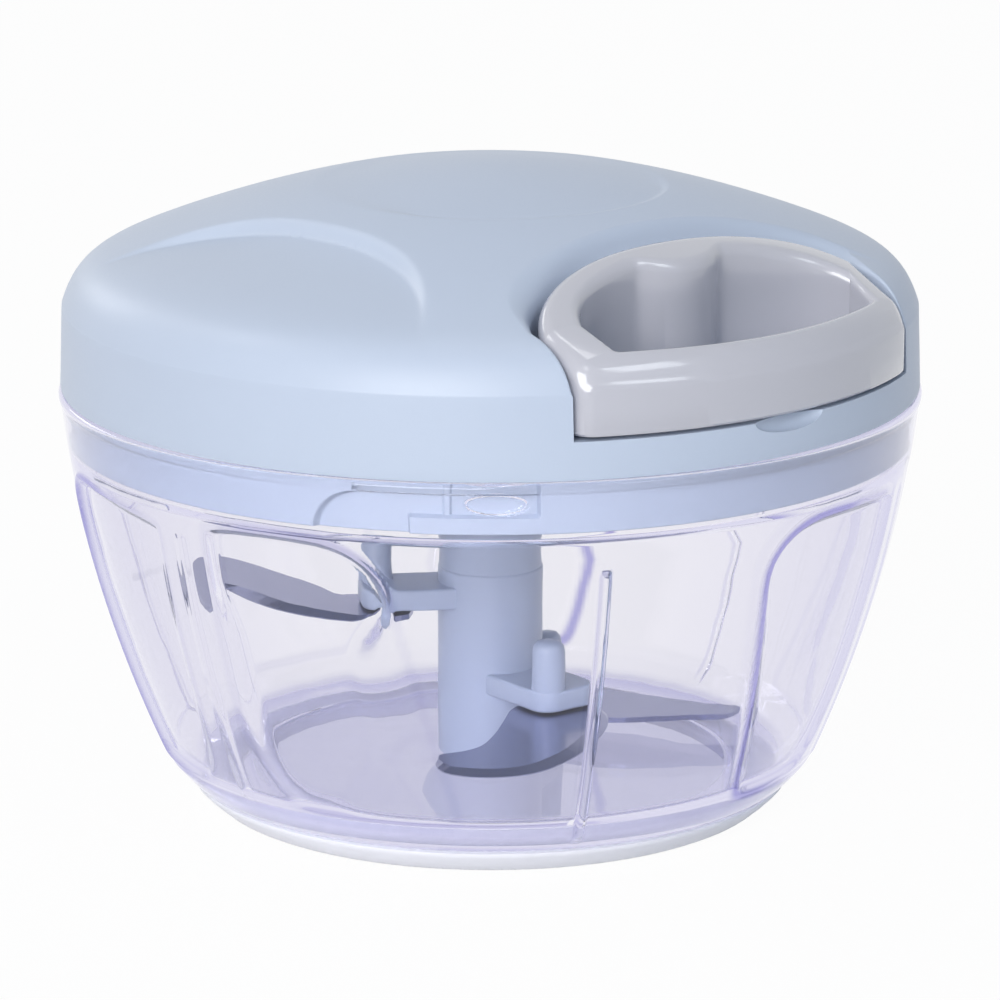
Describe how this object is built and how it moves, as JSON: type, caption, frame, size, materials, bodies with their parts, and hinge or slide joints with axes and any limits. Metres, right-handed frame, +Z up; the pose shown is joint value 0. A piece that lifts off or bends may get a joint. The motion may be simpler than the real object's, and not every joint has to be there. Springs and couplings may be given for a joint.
{
  "type": "pull-cord food chopper",
  "caption": "Hand-held pull-cord chopper with a clear ribbed bowl, a domed lid with a pocketed ring handle, and a column with swept blades.",
  "frame": {"origin": "centre of the underside of the base ring", "axes": "+Z up along the bowl's and the blades' common axis; -Y towards the viewer of the picture; the handle pulls out at 41 degrees from -Y towards +X"},
  "size_m": [0.1256, 0.1256, 0.094],
  "materials": {
    "clear_plastic": "clear, slightly lavender, glossy",
    "pale_rubber": "matt off-white",
    "blue_plastic": "satin light blue",
    "shaft_plastic": "satin blue",
    "grey_plastic": "glossy warm grey",
    "white_plastic": "plain white",
    "steel": "plain steel",
    "blade_steel": "polished flat, ground edges",
    "cord": "braided off-white"
  },
  "bodies": {
    "bowl": {"bowl": "clear_plastic", "base_ring": "pale_rubber", "pivot_pin": "steel"},
    "lid": {"lid_cover": "blue_plastic", "lid_base": "blue_plastic", "hub_bush": "white_plastic", "lid_screw_1": "steel", "lid_screw_2": "steel", "lid_screw_3": "steel", "lid_screw_4": "steel", "reel_axle": "steel", "reel_washer": "steel", "reel_screw": "steel", "recoil_spring": "steel", "cord_eyelet": "steel", "cord_lead": "cord"},
    "handle": {"handle": "grey_plastic", "cord_knot": "cord"},
    "reel": {"cord_reel": "white_plastic", "spring_cover": "white_plastic", "cord_winding": "cord"},
    "pawl_1": {"pawl_1": "white_plastic"},
    "pawl_2": {"pawl_2": "white_plastic"},
    "drive_hub": {"drive_hub": "white_plastic"},
    "blades": {"blade_shaft": "shaft_plastic", "blade_upper": "blade_steel", "blade_middle": "blade_steel", "blade_lower": "blade_steel"}
  },
  "joints": [
    {"name": "lid_lift", "type": "slide", "parent": "bowl", "child": "lid", "axis": [0, 0, 1], "range_m": [0, 0.085]},
    {"name": "handle_pull", "type": "slide", "parent": "lid", "child": "handle", "axis": [0.6561, -0.7547, 0], "range_m": [0, 0.36], "stiffness_N_per_m": 10, "springref_m": -0.3},
    {"name": "reel_spin", "type": "hinge", "parent": "lid", "child": "reel", "pos_m": [0, 0, 0.0742], "axis": [0, 0, 1], "range_deg": [0, 1080], "deforming": ["recoil_spring", "cord_winding"]},
    {"name": "pawl_1_swing", "type": "hinge", "parent": "reel", "child": "pawl_1", "pos_m": [0, -0.009, 0.065], "axis": [0, 0, 1], "range_deg": [0, 15]},
    {"name": "pawl_2_swing", "type": "hinge", "parent": "reel", "child": "pawl_2", "pos_m": [0, 0.009, 0.065], "axis": [0, 0, 1], "range_deg": [0, 15]},
    {"name": "hub_spin", "type": "hinge", "parent": "lid", "child": "drive_hub", "pos_m": [0, 0, 0.058], "axis": [0, 0, 1], "range_deg": [0, 1080]},
    {"name": "blades_spin", "type": "hinge", "parent": "bowl", "child": "blades", "pos_m": [0, 0, 0.02], "axis": [0, 0, 1], "range_deg": [0, 1080]}
  ],
  "couplings": [
    {"joint": "reel_spin", "follows": "handle_pull", "rad_per_m": 52.083},
    {"joint": "hub_spin", "follows": "handle_pull", "rad_per_m": 52.083},
    {"joint": "blades_spin", "follows": "handle_pull", "rad_per_m": 52.083}
  ]
}
